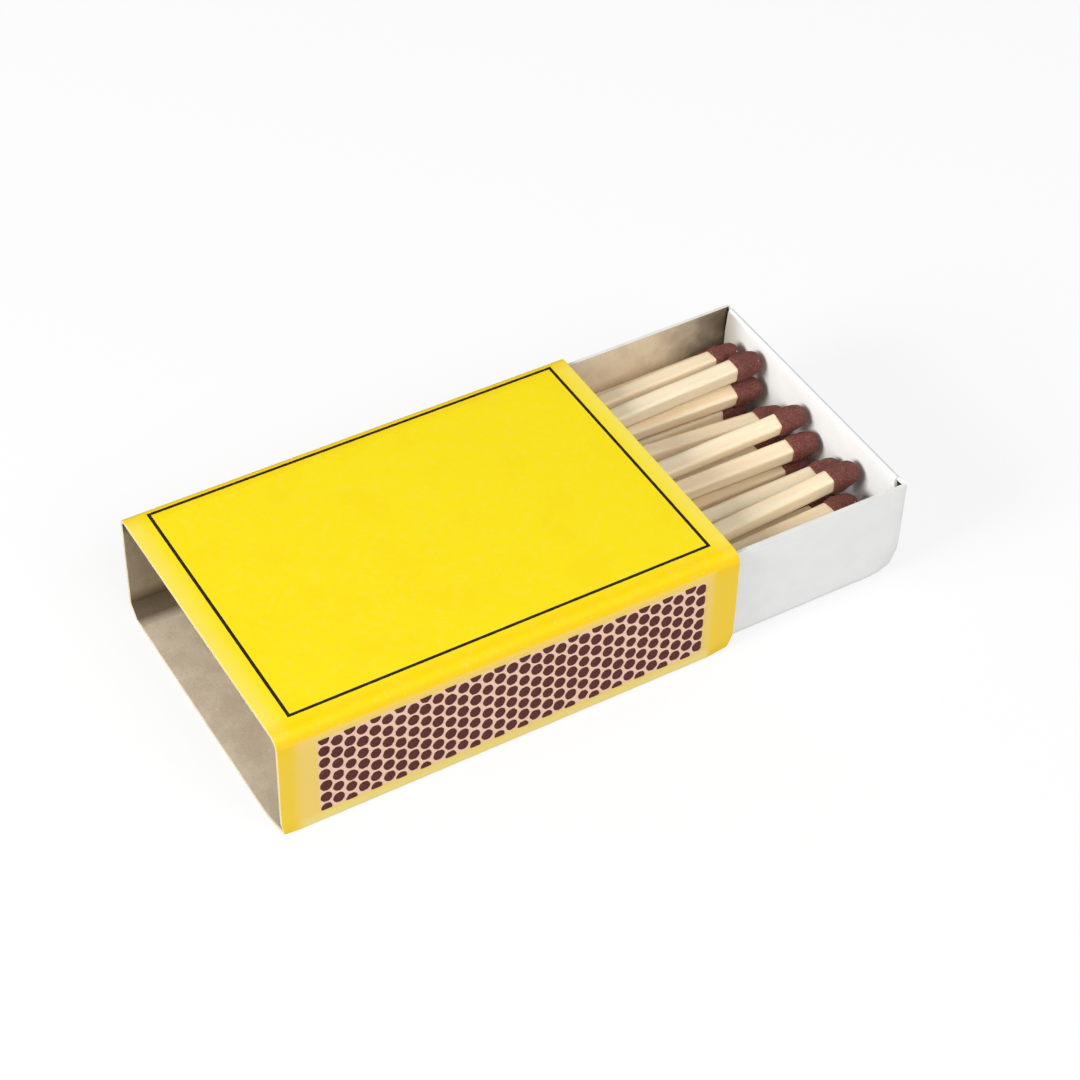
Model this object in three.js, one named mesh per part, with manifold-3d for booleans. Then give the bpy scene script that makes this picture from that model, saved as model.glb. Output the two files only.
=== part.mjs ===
// A matchbox with its tray pulled part of the way out, and the matches in it.
// Millimetres, +Z up. The tray is pulled out along +X, and +Y is the back.
// The origin is the centre of the sleeve's underside.

import * as THREE from 'three';
import { mergeVertices } from 'three/addons/utils/BufferGeometryUtils.js';
import Module from 'manifold-3d';

const wasm = await Module();
wasm.setup();

// The sleeve, a flat tube folded from one strip of card
const sleeveLength = 53;
const sleeveWidth = 36;
const sleeveHeight = 14;
const sleeveCard = 0.4;
const topFoldRadius = 0.9;
const frontFoldRadius = 1.8;
const bevelLeg = 1.5;
const creaseRadius = 0.5;

// The tray, folded from one sheet of card, with doubled end walls
const trayCard = 0.4;
const endWall = 0.8;
const pullOut = 21.9;
const trayBackPlay = 0.3;
const trayFrontPlay = 0.35;
const trayFloorPlay = 0.2;
const trayTopPlay = 0.25;
const trayFrontFoldRadius = 0.8;
const trayBackFoldRadius = 2;
const trayEndFoldRadius = 0.8;
const flapPlay = 0.35;

// The printed line frame on the top panel, measured from the panel's edges
const inkThickness = 0.06;
const frameLine = 0.4;
const frameFromLeft = 2.73;
const frameFromRight = 2.18;
const frameFromFront = 2.77;
const frameFromBack = 1.17;

// The striking strips on the two long sides
const strikerCoat = 0.08;
const strikerFromEnds = 4.35;
const strikerFromTopFold = 1.15;
const strikerFromLowFold = 0.2;

// The matches, square splints with dipped heads
const splintSide = 1.95;
const headWidth = 2.9;
const skirtWidth = 2.86;
const headLength = 3.7;
const dipDepth = 2.9;
const dipPlay = 0.014;
const pileGap = 0.2;
const buriedShort = 0.8;
const crossings = 16;
const tailPlay = 3.3;
const headPlay = 0.15;
const headSides = 16;

// The buried rows, from the tray's floor up: how many matches each holds
const buriedRows = [9, 8];

// The matches on top, in the order they lie on one another. A lane runs from -1 at the
// front wall to 1 at the back wall. Short is how far the head stays behind the furthest.
const topMatches = [
  { headLane: 0.99, tailLane: 0.97, short: 0.6, roll: 8 },
  { headLane: 0.56, tailLane: 0.68, short: 0.2, roll: 14 },
  { headLane: 0.225, tailLane: 0.52, short: 0.1, roll: -6 },
  { headLane: -0.455, tailLane: -0.45, short: 0, roll: 5 },
  { headLane: -0.82, tailLane: -0.88, short: 1.8, roll: -7 },
  { headLane: -0.15, tailLane: -0.06, short: 0, roll: 6 },
  { headLane: 0.845, tailLane: 0.78, short: 0.5, roll: -4 },
  { headLane: 0.61, tailLane: 0.55, short: 0.1, roll: 5 },
  { headLane: 0.01, tailLane: 0.12, short: 0, roll: 16 },
  { headLane: -0.65, tailLane: -0.7, short: 0.15, roll: 3 },
];

// Sizes that follow from the ones above
const sleeveInnerBack = sleeveWidth / 2 - sleeveCard;
const trayLength = sleeveLength;
const trayBack = sleeveInnerBack - trayBackPlay;
const trayFront = -sleeveInnerBack + trayFrontPlay;
const trayBottom = sleeveCard + trayFloorPlay;
const trayTop = sleeveHeight - sleeveCard - trayTopPlay;
const trayRight = sleeveLength / 2 + pullOut;
const trayLeft = trayRight - trayLength;
const trayFloor = trayBottom + trayCard;
const furthestHead = trayRight - endWall - headPlay;
const matchLength = trayLength - 2 * endWall - tailPlay - headPlay;
const splintLength = matchLength - headLength + dipDepth;
const laneMiddle = (trayBack + trayFront) / 2;
const laneReach = (trayBack - trayFront) / 2 - trayCard - headWidth / 2 - pileGap;

const materials = {
  yellowCard: new THREE.MeshStandardMaterial({ color: 0xf6e02c, roughness: 0.55 }),
  whiteCard: new THREE.MeshStandardMaterial({ color: 0xe6e6e2, roughness: 0.7 }),
  blackInk: new THREE.MeshStandardMaterial({ color: 0x2a2114, roughness: 0.6 }),
  striker: new THREE.MeshStandardMaterial({ color: 0x70403a, roughness: 0.9 }),
  wood: new THREE.MeshStandardMaterial({ color: 0xf7dfb0, roughness: 0.7 }),
  head: new THREE.MeshStandardMaterial({ color: 0x74433c, roughness: 0.85 }),
};

// Outlines

// The points of a polygon whose corners [x, y, radius] are rounded by arcs.
function rounded(corners, steps = 4) {
  const points = [];
  corners.forEach(([x, y, radius], i) => {
    const corner = new THREE.Vector2(x, y);
    const before = corners[(i + corners.length - 1) % corners.length];
    const after = corners[(i + 1) % corners.length];
    const back = new THREE.Vector2(before[0], before[1]).sub(corner).normalize();
    const on = new THREE.Vector2(after[0], after[1]).sub(corner).normalize();
    if (!radius) {
      points.push(corner);
      return;
    }
    const half = Math.acos(back.dot(on)) / 2;
    const tangent = radius / Math.tan(half);
    const middle = back.clone().add(on).normalize();
    const centre = corner.clone().addScaledVector(middle, radius / Math.sin(half));
    const first = corner.clone().addScaledVector(back, tangent).sub(centre);
    const last = corner.clone().addScaledVector(on, tangent).sub(centre);
    const turn = Math.atan2(first.cross(last), first.dot(last));
    for (let k = 0; k <= steps; k += 1) {
      const spoke = first.clone().rotateAround(new THREE.Vector2(), (turn * k) / steps);
      points.push(spoke.add(centre));
    }
  });
  return points;
}

// The corners of a convex anticlockwise polygon moved inwards by one card's thickness.
function insideOf(corners, thickness) {
  const count = corners.length;
  const edges = corners.map(([x, y], i) => {
    const [toX, toY] = corners[(i + 1) % count];
    const along = new THREE.Vector2(toX - x, toY - y).normalize();
    const inward = new THREE.Vector2(-along.y, along.x);
    return { along, start: new THREE.Vector2(x, y).addScaledVector(inward, thickness) };
  });
  return corners.map(([, , radius], i) => {
    const one = edges[(i + count - 1) % count];
    const two = edges[i];
    const gap = two.start.clone().sub(one.start);
    const reach = gap.cross(two.along) / one.along.cross(two.along);
    const corner = one.start.clone().addScaledVector(one.along, reach);
    return [corner.x, corner.y, Math.max(radius - thickness, 0)];
  });
}

// Solids

function extruded(outline, hole, depth) {
  const shape = new THREE.Shape(outline);
  if (hole) {
    shape.holes.push(new THREE.Path(hole));
  }
  return new THREE.ExtrudeGeometry(shape, { depth, bevelEnabled: false });
}

// An outline in Y and Z, drawn out along X from one place to another.
function alongX(outline, hole, from, to) {
  const turn = new THREE.Matrix4().makeBasis(
    new THREE.Vector3(0, 1, 0),
    new THREE.Vector3(0, 0, 1),
    new THREE.Vector3(1, 0, 0),
  );
  return extruded(outline, hole, to - from).applyMatrix4(turn).translate(from, 0, 0);
}

// An outline in X and Z, drawn out along Y from one place to another.
function alongY(outline, from, to) {
  const turn = new THREE.Matrix4().makeBasis(
    new THREE.Vector3(1, 0, 0),
    new THREE.Vector3(0, 0, 1),
    new THREE.Vector3(0, -1, 0),
  );
  return extruded(outline, null, to - from).applyMatrix4(turn).translate(0, to, 0);
}

function boxBetween(low, high) {
  const size = high.map((value, k) => value - low[k]);
  const middle = high.map((value, k) => (value + low[k]) / 2);
  return new THREE.BoxGeometry(...size).translate(...middle);
}

// A closed geometry as a solid that can be joined and cut.
function solidOf(geometry) {
  const bare = geometry.clone();
  bare.deleteAttribute('normal');
  bare.deleteAttribute('uv');
  const merged = mergeVertices(bare, 1e-5);
  const index = Array.from(merged.index.array);
  const kept = [];
  for (let k = 0; k < index.length; k += 3) {
    const [a, b, c] = index.slice(k, k + 3);
    if (a !== b && b !== c && c !== a) {
      kept.push(a, b, c);
    }
  }
  return new wasm.Manifold(new wasm.Mesh({
    numProp: 3,
    vertProperties: new Float32Array(merged.attributes.position.array),
    triVerts: new Uint32Array(kept),
  }));
}

function geometryOf(solid) {
  const mesh = solid.getMesh();
  const geometry = new THREE.BufferGeometry();
  geometry.setAttribute('position', new THREE.BufferAttribute(mesh.vertProperties, 3));
  geometry.setIndex(new THREE.BufferAttribute(mesh.triVerts, 1));
  geometry.computeVertexNormals();
  return geometry;
}

function named(name, geometry, material) {
  const mesh = new THREE.Mesh(geometry, material);
  mesh.name = name;
  return mesh;
}

// The sleeve

// Looked at along the tube: the bottom-back edge is creased twice, so it has a bevel.
function makeSleeve() {
  const side = sleeveWidth / 2;
  const outer = [
    [-side, 0, frontFoldRadius],
    [side - bevelLeg, 0, creaseRadius],
    [side, bevelLeg, creaseRadius],
    [side, sleeveHeight, topFoldRadius],
    [-side, sleeveHeight, topFoldRadius],
  ];
  const inner = insideOf(outer, sleeveCard);
  const end = sleeveLength / 2;
  return named('sleeve', alongX(rounded(outer), rounded(inner), -end, end), materials.yellowCard);
}

function makeStriker(name, side) {
  const inner = side * sleeveWidth / 2;
  const outer = inner + side * strikerCoat;
  const end = sleeveLength / 2 - strikerFromEnds;
  const lowFold = side < 0 ? frontFoldRadius : bevelLeg + creaseRadius;
  const low = [-end, Math.min(inner, outer), lowFold + strikerFromLowFold];
  const high = [end, Math.max(inner, outer), sleeveHeight - topFoldRadius - strikerFromTopFold];
  return named(name, boxBetween(low, high), materials.striker);
}

function makePrintedFrame() {
  const left = -sleeveLength / 2 + frameFromLeft;
  const right = sleeveLength / 2 - frameFromRight;
  const front = -sleeveWidth / 2 + frameFromFront;
  const back = sleeveWidth / 2 - frameFromBack;
  const rectangle = (grow) => [
    new THREE.Vector2(left - grow, front - grow),
    new THREE.Vector2(right + grow, front - grow),
    new THREE.Vector2(right + grow, back + grow),
    new THREE.Vector2(left - grow, back + grow),
  ];
  const outline = extruded(rectangle(frameLine / 2), rectangle(-frameLine / 2), inkThickness);
  return named('printed_frame', outline.translate(0, 0, sleeveHeight), materials.blackInk);
}

// The tray

// The outside and the hollow are each where two outlines cross. The end walls are folded
// over at the top, so their top edges are round, and the flap that is folded in is a
// little narrower than the tray, which leaves a slit at each corner.
function makeTray() {
  const roll = endWall / 2 - 0.01;
  const outerAcross = rounded([
    [trayFront, trayBottom, trayFrontFoldRadius],
    [trayBack, trayBottom, trayBackFoldRadius],
    [trayBack, trayTop, 0],
    [trayFront, trayTop, 0],
  ]);
  const outerAlong = rounded([
    [trayLeft, trayBottom, trayEndFoldRadius],
    [trayRight, trayBottom, trayEndFoldRadius],
    [trayRight, trayTop, roll],
    [trayLeft, trayTop, roll],
  ]);
  const above = trayTop + 1;
  const front = trayFront + trayCard;
  const back = trayBack - trayCard;
  const innerAcross = rounded([
    [front, trayFloor, trayFrontFoldRadius - trayCard],
    [back, trayFloor, trayBackFoldRadius - trayCard],
    [back, above, 0],
    [front, above, 0],
  ]);
  const left = trayLeft + endWall;
  const right = trayRight - endWall;
  const innerAlong = rounded([
    [left, trayFloor, trayEndFoldRadius - trayCard],
    [right, trayFloor, trayEndFoldRadius - trayCard],
    [right, trayTop, roll],
    [right + 1, trayTop, 0],
    [right + 1, above, 0],
    [left - 1, above, 0],
    [left - 1, trayTop, 0],
    [left, trayTop, roll],
  ]);
  const shell = solidOf(alongX(outerAcross, null, trayLeft, trayRight))
    .intersect(solidOf(alongY(outerAlong, trayFront, trayBack)));
  const hollow = solidOf(alongX(innerAcross, null, trayLeft - 1, trayRight + 1))
    .intersect(solidOf(alongY(innerAlong, front, back)));
  let tray = shell.subtract(hollow);
  for (const [from, to] of [[left - endWall / 2, left + 0.1], [right - 0.1, right + endWall / 2]]) {
    for (const [low, high] of [[front, front + flapPlay], [back - flapPlay, back]]) {
      tray = tray.subtract(solidOf(boxBetween([from, low, trayFloor], [to, high, above])));
    }
  }
  return named('tray', geometryOf(tray), materials.whiteCard);
}

// The matches

// A match's section where it is cut across: the outline that nothing else may enter,
// wider than the match by half the gap that the pile keeps.
function sectionAt(match, x) {
  if (x < match.tailX || x > match.endX) {
    return null;
  }
  const part = (x - match.tailX) / matchLength;
  const y = match.tailY + (match.headY - match.tailY) * part;
  const inHead = x > match.endX - headLength;
  const sides = inHead ? 12 : 4;
  const flat = (inHead ? headWidth : splintSide) / 2 + pileGap / 2;
  const radius = flat / Math.cos(Math.PI / sides);
  const start = THREE.MathUtils.degToRad(match.roll) + Math.PI / sides;
  const outline = [];
  for (let k = 0; k < sides; k += 1) {
    const angle = start + (2 * Math.PI * k) / sides;
    outline.push([y + radius * Math.cos(angle), radius * Math.sin(angle)]);
  }
  return { outline, part };
}

// The highest or lowest place of an outline at a distance y, for way 1 or -1.
function edgeOf(outline, y, way) {
  let best = -Infinity;
  outline.forEach(([y0, z0], k) => {
    const [y1, z1] = outline[(k + 1) % outline.length];
    if (y < Math.min(y0, y1) || y > Math.max(y0, y1) || y0 === y1) {
      return;
    }
    best = Math.max(best, way * (z0 + ((z1 - z0) * (y - y0)) / (y1 - y0)));
  });
  return way * best;
}

// How high one outline's middle must be above another's for it to clear it.
function liftOver(under, over) {
  const reach = (outline) => outline.map(([y]) => y);
  const low = Math.max(Math.min(...reach(under)), Math.min(...reach(over)));
  const high = Math.min(Math.max(...reach(under)), Math.max(...reach(over)));
  if (low >= high) {
    return -Infinity;
  }
  const places = [...reach(under), ...reach(over), low, high].filter((y) => y >= low && y <= high);
  return Math.max(...places.map((y) => edgeOf(under, y, 1) - edgeOf(over, y, -1)));
}

// The places along X where a match is compared with the others: where its section
// changes, and evenly between, because matches that cross come closest anywhere.
function stationsOf(match) {
  const headStart = match.endX - headLength;
  const near = 0.001;
  const stations = [headStart - near, headStart + near];
  for (let k = 0; k <= crossings; k += 1) {
    stations.push(match.tailX + near + ((matchLength - 2 * near) * k) / crossings);
  }
  return stations;
}

// Lowers a match onto the tray's floor and the pile, and adds it to the pile.
function settle(match, pile) {
  const places = [match, ...pile].flatMap(stationsOf);
  const needs = [];
  for (const x of places) {
    const mine = sectionAt(match, x);
    if (!mine) {
      continue;
    }
    const lowest = Math.min(...mine.outline.map(([, z]) => z));
    let need = trayFloor + pileGap / 2 - lowest;
    for (const other of pile) {
      const theirs = sectionAt(other, x);
      if (theirs) {
        const middle = other.tailZ + (other.headZ - other.tailZ) * theirs.part;
        need = Math.max(need, middle + liftOver(theirs.outline, mine.outline));
      }
    }
    needs.push({ part: mine.part, need });
  }
  const tailHalf = needs.filter(({ part }) => part < 0.5);
  const headHalf = needs.filter(({ part }) => part >= 0.5);
  match.tailZ = Math.max(...tailHalf.map(({ need }) => need));
  match.headZ = Math.max(
    ...headHalf.map(({ part, need }) => (need - match.tailZ * (1 - part)) / part),
  );
  const short = needs.map(({ part, need }) => need - match.tailZ * (1 - part) - match.headZ * part);
  const lift = Math.max(0, ...short);
  match.tailZ += lift;
  match.headZ += lift;
  pile.push(match);
}

// A buried row of one match fewer lies in the hollows of the row below. The small strays
// from an even row are worked out from the match's number.
function buriedMatch(place, count, number) {
  const stray = (step, size) => size * Math.sin(number * step);
  const lane = (2 * place - (count - 1)) / (buriedRows[0] - 1);
  return laneMatch({
    headLane: lane,
    tailLane: lane + stray(1.7, 0.03) * (1 - Math.abs(lane)),
    short: buriedShort + stray(2.4, buriedShort),
    roll: stray(3.1, 7),
  });
}

function laneMatch({ headLane, tailLane, short, roll }) {
  const endX = furthestHead - short;
  return {
    headY: laneMiddle + laneReach * headLane,
    tailY: laneMiddle + laneReach * tailLane,
    endX,
    tailX: endX - matchLength,
    roll,
  };
}

function splintGeometry() {
  const box = new THREE.BoxGeometry(splintLength, splintSide, splintSide);
  return box.translate(splintLength / 2, 0, 0);
}

// A head is turned about the splint's axis: a short skirt, a full belly and a round nose.
function headGeometry() {
  const belly = headWidth / 2;
  const start = matchLength - headLength;
  const profile = [
    [0, 0],
    [skirtWidth / 2, 0],
    [belly, 0.28 * headLength],
    [0.97 * belly, 0.62 * headLength],
    [0.78 * belly, 0.87 * headLength],
    [0.4 * belly, 0.98 * headLength],
    [0, headLength],
  ];
  const points = profile.map(([radius, along]) => new THREE.Vector2(radius, start + along));
  return new THREE.LatheGeometry(points, headSides).rotateZ(-Math.PI / 2);
}

// The head with the socket that the splint's dipped tip fills.
function dippedHeadGeometry() {
  const half = splintSide / 2 + dipPlay;
  const start = matchLength - headLength;
  const tip = boxBetween([start - 1, -half, -half], [splintLength + dipPlay, half, half]);
  return geometryOf(solidOf(headGeometry()).subtract(solidOf(tip)));
}

// Places a group with its own X along the match, from the tail to the head.
function laid(match, meshes) {
  const group = new THREE.Group();
  const rise = match.headZ - match.tailZ;
  const across = match.headY - match.tailY;
  const yaw = Math.atan2(across, matchLength);
  const pitch = -Math.atan2(rise, matchLength);
  group.position.set(match.tailX, match.tailY, match.tailZ);
  group.rotation.set(THREE.MathUtils.degToRad(match.roll), pitch, yaw, 'ZYX');
  group.add(...meshes);
  return group;
}

function makeMatches() {
  const pile = [];
  for (const count of buriedRows) {
    for (let place = 0; place < count; place += 1) {
      settle(buriedMatch(place, count, pile.length + 1), pile);
    }
  }
  for (const place of topMatches) {
    settle(laneMatch(place), pile);
  }
  return pile.map((match, k) => {
    const number = String(k + 1).padStart(2, '0');
    return laid(match, [
      named(`match_splint_${number}`, splintGeometry(), materials.wood),
      named(`match_head_${number}`, dippedHeadGeometry(), materials.head),
    ]);
  });
}

const matchbox = new THREE.Group();
matchbox.add(
  makeSleeve(),
  makePrintedFrame(),
  makeStriker('striker_front', -1),
  makeStriker('striker_back', 1),
  makeTray(),
  ...makeMatches(),
);

export default matchbox;
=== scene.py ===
# %% [markdown]
# # A matchbox, pulled open
#
# This lesson dresses a matchbox: a folded card sleeve, a card tray pulled part of the way
# out of it, and the matches lying in the tray. The sizes come from the fixed model that is
# loaded first. What is added here is what card, print, split wood and dipped heads look
# like from close by: soft folds, cut edges, fibres, grain and grit.
#
# Lengths are written in millimetres, because a matchbox is measured in them, and are
# turned into metres at the one place where a mesh is made.

# %% Load the fixed model
import math

import bmesh
import bpy
import numpy as np
from mathutils import Matrix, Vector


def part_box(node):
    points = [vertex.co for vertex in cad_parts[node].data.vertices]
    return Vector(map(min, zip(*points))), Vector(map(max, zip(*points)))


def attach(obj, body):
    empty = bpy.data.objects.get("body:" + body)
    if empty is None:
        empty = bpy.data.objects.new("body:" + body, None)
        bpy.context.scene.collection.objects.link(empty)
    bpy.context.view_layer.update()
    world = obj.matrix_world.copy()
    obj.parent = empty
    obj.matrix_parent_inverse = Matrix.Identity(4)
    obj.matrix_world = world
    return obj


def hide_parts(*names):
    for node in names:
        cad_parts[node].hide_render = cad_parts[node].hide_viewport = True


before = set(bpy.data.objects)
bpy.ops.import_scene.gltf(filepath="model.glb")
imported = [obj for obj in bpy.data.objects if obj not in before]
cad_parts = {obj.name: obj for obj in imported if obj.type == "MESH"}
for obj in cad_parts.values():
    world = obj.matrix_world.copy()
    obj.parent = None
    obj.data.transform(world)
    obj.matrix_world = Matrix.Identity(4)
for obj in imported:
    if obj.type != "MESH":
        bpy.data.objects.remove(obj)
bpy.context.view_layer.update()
MM = 0.001


def box_mm(node):
    """The lowest and highest corner of a node, in millimetres."""
    low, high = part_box(node)
    return np.array(low) / MM, np.array(high) / MM


sleeve_low, sleeve_high = box_mm("sleeve")
tray_low, tray_high = box_mm("tray")
print("sleeve, mm:", sleeve_low.round(2), sleeve_high.round(2))
print("tray, mm:", tray_low.round(2), tray_high.round(2))

# %% [markdown]
# ## The camera
#
# A photograph of a box gives its camera away: the corners of the box are known points, and
# only one camera puts all of them where the picture has them. The angles below were solved
# from the sleeve's corners. A camera needs three directions, to its right, up and back, and
# the place where it stands; the small roll turns the first two about the third.

# %% Place the camera
AZIMUTH = math.radians(-31.704)
ELEVATION = math.radians(43.999)
ROLL = math.radians(-1.762)
FOCAL_LENGTH = 91.265
SENSOR = 36.0
ORIGIN_FROM_CAMERA = np.array([-11.694, -9.640, -291.158])


def camera_axes(azimuth, elevation, roll):
    """Rows are the camera's right, up and back: the turn about Z, the tilt, then the roll."""
    right = np.array([math.cos(azimuth), math.sin(azimuth), 0.0])
    back = np.array([
        math.sin(azimuth) * math.cos(elevation),
        -math.cos(azimuth) * math.cos(elevation),
        math.sin(elevation),
    ])
    level = np.stack([right, np.cross(back, right), back])
    cos, sin = math.cos(roll), math.sin(roll)
    turn = np.array([[cos, -sin, 0.0], [sin, cos, 0.0], [0.0, 0.0, 1.0]])
    return turn @ level


def placed(axes, where):
    """The matrix of a thing that stands there, with its own three axes as the rows."""
    matrix = Matrix(axes.T.tolist()).to_4x4()
    matrix.translation = where
    return matrix


axes = camera_axes(AZIMUTH, ELEVATION, ROLL)
place = placed(axes, -axes.T @ ORIGIN_FROM_CAMERA * MM)
camera_data = bpy.data.cameras.new("photo_camera")
camera_data.sensor_width = SENSOR
camera_data.lens = FOCAL_LENGTH
camera = bpy.data.objects.new("photo_camera", camera_data)
camera.matrix_world = place
bpy.context.scene.collection.objects.link(camera)
bpy.context.scene.camera = camera
print("camera stands at, mm:", (np.array(place.translation) / MM).round(1))

# %% [markdown]
# ## Colours and node trees
#
# Every material below is a tree of nodes. Blender takes three calls to add a node, set its
# inputs and link it, and a recipe is hard to see through them. The small class here makes
# one call of the three, so that a material reads from top to bottom. Colours are written
# as a picture shows them, and are turned into the linear values that shaders count in.

# %% Colours and nodes in short
def srgb(red, green, blue):
    """A colour picked from a picture, 0 to 255, as the linear colour that a shader takes."""
    share = np.array([red, green, blue]) / 255.0
    linear = np.where(share <= 0.04045, share / 12.92, ((share + 0.055) / 1.055) ** 2.4)
    return (*linear.tolist(), 1.0)


class Nodes:
    """Adds nodes to a tree, and links or sets their inputs in the same call."""

    def __init__(self, tree):
        self.tree = tree

    def add(self, kind, inputs=None, **settings):
        node = self.tree.nodes.new(kind)
        for name, value in settings.items():
            setattr(node, name, value)
        for key, value in (inputs or {}).items():
            self.feed(node.inputs[key], value)
        return node

    def feed(self, socket, value):
        if isinstance(value, bpy.types.NodeSocket):
            self.tree.links.new(value, socket)
        else:
            socket.default_value = value

    def math(self, operation, *values, clamp=False):
        node = self.add("ShaderNodeMath", operation=operation, use_clamp=clamp)
        for socket, value in zip(node.inputs, values):
            self.feed(socket, value)
        return node.outputs[0]

    def ramp(self, value, low, high, to_low=0.0, to_high=1.0):
        """A smooth step: to_low below low, to_high above high, and an S between."""
        node = self.add(
            "ShaderNodeMapRange",
            {"Value": value, "From Min": low, "From Max": high,
             "To Min": to_low, "To Max": to_high},
            interpolation_type="SMOOTHSTEP",
        )
        return node.outputs["Result"]

    def mix(self, share, one, other):
        """One colour at share 0, the other at share 1."""
        node = self.add("ShaderNodeMix", data_type="RGBA")
        self.feed(node.inputs["Factor"], share)
        self.feed(node.inputs[6], one)
        self.feed(node.inputs[7], other)
        return node.outputs[2]

    def noise(self, place, scale, detail=2.0, rough=0.5):
        node = self.add(
            "ShaderNodeTexNoise",
            {"Vector": place, "Scale": scale, "Detail": detail, "Roughness": rough},
        )
        return node.outputs["Fac"]

    def vector(self, operation, one, other):
        """A sum or a product of two vectors, part by part."""
        node = self.add("ShaderNodeVectorMath", {0: one, 1: other}, operation=operation)
        return node.outputs[0]

    def parts(self, place):
        """The X, Y and Z of a place."""
        return self.add("ShaderNodeSeparateXYZ", {0: place}).outputs

    def mark(self, name, kind="Fac"):
        """What the mesh says about each point under this name."""
        return self.add("ShaderNodeAttribute", attribute_name=name).outputs[kind]


def empty_tree(holder):
    """A material or a world, and its tree, emptied."""
    holder.use_nodes = True
    holder.node_tree.nodes.clear()
    return holder, Nodes(holder.node_tree)


def new_material(name):
    """A material with an empty tree but for its output and a Principled BSDF."""
    material, make = empty_tree(bpy.data.materials.new(name))
    shader = make.add("ShaderNodeBsdfPrincipled")
    make.add("ShaderNodeOutputMaterial", {"Surface": shader.outputs["BSDF"]})
    return material, make, shader


print("a middle grey, as a shader counts it:", round(srgb(128, 128, 128)[0], 3))

# %% [markdown]
# ## Light and floor
#
# The picture is a studio shot on white. The faces tell where its light stands: the tray's
# end wall, which looks left, is the brightest, the top comes next, and the front is a light
# grey. So the main lamp is at the left, not far above the box, a weaker one stands high in
# front, and a plain world fills the shadows. A large area lamp gives soft shadow edges. The
# lamps and the world add up to about one on a level white surface, so a colour comes out
# about as it is written.
#
# The floor has to be white to the camera, but a floor that glows would light the box from
# below. Light Path's Is Camera Ray solves it: only what looks straight at the floor sees
# the added white, and the rest of the light meets a plain grey surface. Part of the floor
# stays an ordinary surface to the camera too, so the shadow under the box still shows.

# %% Soft light from the left, and a pale world
SHOWN_WHITE = 1.0
WORLD_LIGHT = 0.27


def soft_lamp(name, stands, looks_at, size, level):
    """An area lamp. On a white surface that faces it, it gives the level asked for: its
    power is that level times pi squared times the distance squared."""
    stands, looks_at = np.array(stands), np.array(looks_at)
    away = stands - looks_at
    distance = np.linalg.norm(away)
    data = bpy.data.lights.new(name, "AREA")
    data.shape = "SQUARE"
    data.size = size
    data.energy = level * (math.pi * distance) ** 2
    lamp = bpy.data.objects.new(name, data)
    back = away / distance
    right = np.cross([0.0, 0.0, 1.0], back)
    right /= np.linalg.norm(right)
    lamp.matrix_world = placed(np.stack([right, np.cross(back, right), back]), stands)
    bpy.context.scene.collection.objects.link(lamp)
    return lamp


def seen_share(make):
    """1 for what the camera looks at, straight, in a mirror or through glass, else 0."""
    path = make.add("ShaderNodeLightPath")
    seen = make.math("ADD", path.outputs["Is Camera Ray"], path.outputs["Is Glossy Ray"])
    return make.math("ADD", seen, path.outputs["Is Transmission Ray"], clamp=True)


lamps = [
    soft_lamp("left_lamp", (-0.68, -0.05, 0.33), (0.02, 0.0, 0.01), size=0.32, level=0.92),
    soft_lamp("front_lamp", (0.06, -0.60, 0.58), (0.01, 0.0, 0.0), size=0.5, level=0.52),
]
print("power of the lamps, W:", [round(lamp.data.energy, 2) for lamp in lamps])

world, sky = empty_tree(bpy.data.worlds.new("pale_studio"))
strength = sky.ramp(seen_share(sky), 0.0, 1.0, WORLD_LIGHT, SHOWN_WHITE)
glow = sky.add("ShaderNodeBackground", {"Color": (1.0, 1.0, 1.0, 1.0), "Strength": strength})
sky.add("ShaderNodeOutputWorld", {"Surface": glow.outputs[0]})
bpy.context.scene.world = world
bpy.context.scene.view_settings.view_transform = "Standard"

# %% A white floor that keeps the shadow
FLOOR_HALF = 1500.0
FLOOR_SHADOW_SHARE = 0.2
FLOOR_GREY = srgb(202, 202, 202)
FLOOR_WHITE = srgb(254, 254, 254)


def floor_material():
    """Grey to the light, and white with a share of shadow to whatever looks at it."""
    material, make = empty_tree(bpy.data.materials.new("white_floor"))
    seen = seen_share(make)
    tone = make.mix(seen, FLOOR_GREY, FLOOR_WHITE)
    pale = make.add("ShaderNodeBsdfDiffuse", {"Color": tone})
    white = make.add("ShaderNodeEmission", {"Strength": SHOWN_WHITE})
    share = make.math("MULTIPLY", seen, 1.0 - FLOOR_SHADOW_SHARE)
    both = make.add("ShaderNodeMixShader", {0: share, 1: pale.outputs[0], 2: white.outputs[0]})
    make.add("ShaderNodeOutputMaterial", {"Surface": both.outputs[0]})
    return material


floor_mesh = bpy.data.meshes.new("floor")
floor_corners = np.array([[-1, -1, 0], [1, -1, 0], [1, 1, 0], [-1, 1, 0]]) * FLOOR_HALF * MM
floor_mesh.from_pydata(floor_corners.tolist(), [], [(0, 1, 2, 3)])
floor_mesh.materials.append(floor_material())
floor = bpy.data.objects.new("floor", floor_mesh)
bpy.context.scene.collection.objects.link(floor)
print("floor half size, mm:", FLOOR_HALF)

# %% [markdown]
# ## From a grid of points to a piece
#
# Every new piece here is a grid: rows and columns of points that a formula gives. A quad
# joins each point to its neighbours. Where a grid meets itself, as at a seam or at the
# pointed end of a head, the points there are doubles, and merging them closes the surface.
# Card is a grid with no thickness that the Solidify modifier then thickens, because that
# gives the inside and the cut edge materials of their own.

# %% Grids and meshes
MERGE_WITHIN = 0.0005
SLIVER = 0.0001


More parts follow.
